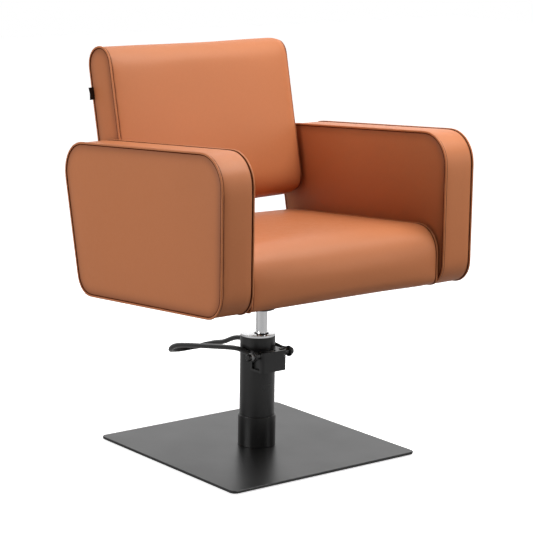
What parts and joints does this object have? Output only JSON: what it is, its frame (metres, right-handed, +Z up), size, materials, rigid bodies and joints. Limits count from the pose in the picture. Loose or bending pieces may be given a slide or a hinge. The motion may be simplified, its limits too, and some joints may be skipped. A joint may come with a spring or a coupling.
{
  "type": "styling chair",
  "caption": "Upholstered box-shaped salon styling chair on a hydraulic column with a square floor plate, a foot-pump lever, a lifting ram and a seat that turns.",
  "frame": {"origin": "on the floor, under the middle of the column and the square floor plate", "axes": "+Z up; the sitter faces -Y; +X is the sitter's left"},
  "size_m": [0.666, 0.6177, 0.8804],
  "materials": {
    "upholstery": "satin",
    "black_metal": "gloss",
    "plate_metal": "satin",
    "chrome": "polished",
    "steel": "satin",
    "bronze": "satin",
    "rubber": "matte",
    "plywood": "matte",
    "label": "matte"
  },
  "bodies": {
    "base": {"base_plate": "plate_metal", "centre_pad": "rubber", "floor_glide_1": "rubber", "floor_glide_2": "rubber", "floor_glide_3": "rubber", "floor_glide_4": "rubber", "column_socket": "black_metal", "pump_cylinder": "black_metal", "lift_tube": "steel", "guide_bush": "bronze", "cylinder_cap": "chrome", "wiper_seal": "rubber", "pump_housing": "black_metal", "return_spring": "steel"},
    "lever": {"foot_lever": "black_metal", "pivot_shaft": "steel", "pump_cam": "steel", "shaft_cap_left": "black_metal", "shaft_cap_right": "black_metal", "shaft_spacer_left": "black_metal", "shaft_spacer_right": "black_metal"},
    "plunger": {"pump_plunger": "steel"},
    "ram": {"lift_ram": "chrome", "ram_piston": "steel", "piston_seal": "rubber"},
    "seat": {"swivel_hub": "black_metal", "hub_bush": "bronze", "seat_plate": "black_metal", "seat_plate_bolt_1": "steel", "seat_plate_bolt_2": "steel", "seat_plate_bolt_3": "steel", "seat_plate_bolt_4": "steel", "seat_cushion": "upholstery", "seat_board": "plywood", "seat_rail_left": "plywood", "seat_rail_right": "plywood", "arm_bolt_left_1": "steel", "arm_bolt_left_2": "steel", "arm_bolt_right_1": "steel", "arm_bolt_right_2": "steel", "arm_pad_left": "upholstery", "arm_pad_right": "upholstery", "arm_board_left": "plywood", "arm_board_right": "plywood", "back_cushion": "upholstery", "back_board": "plywood", "back_bolt_left_1": "steel", "back_bolt_left_2": "steel", "back_bolt_right_1": "steel", "back_bolt_right_2": "steel", "seam_tag": "label"}
  },
  "joints": [
    {"name": "lever_pivot", "type": "hinge", "parent": "base", "child": "lever", "pos_m": [0, -0.0494, 0.224], "axis": [1, 0, 0], "range_deg": [-24, 0], "stiffness_Nm_per_rad": 6, "springref_deg": 28.65},
    {"name": "plunger_slide", "type": "slide", "parent": "base", "child": "plunger", "axis": [0, 0, 1], "range_m": [-0.002, 0]},
    {"name": "seat_lift", "type": "slide", "parent": "base", "child": "ram", "axis": [0, 0, 1], "range_m": [0, 0.15]},
    {"name": "seat_swivel", "type": "hinge", "parent": "ram", "child": "seat", "pos_m": [0, -0.013, 0.33], "axis": [0, 0, 1], "continuous": true}
  ],
  "couplings": [
    {"joint": "plunger_slide", "follows": "lever_pivot", "m_per_rad": 0.0044}
  ]
}
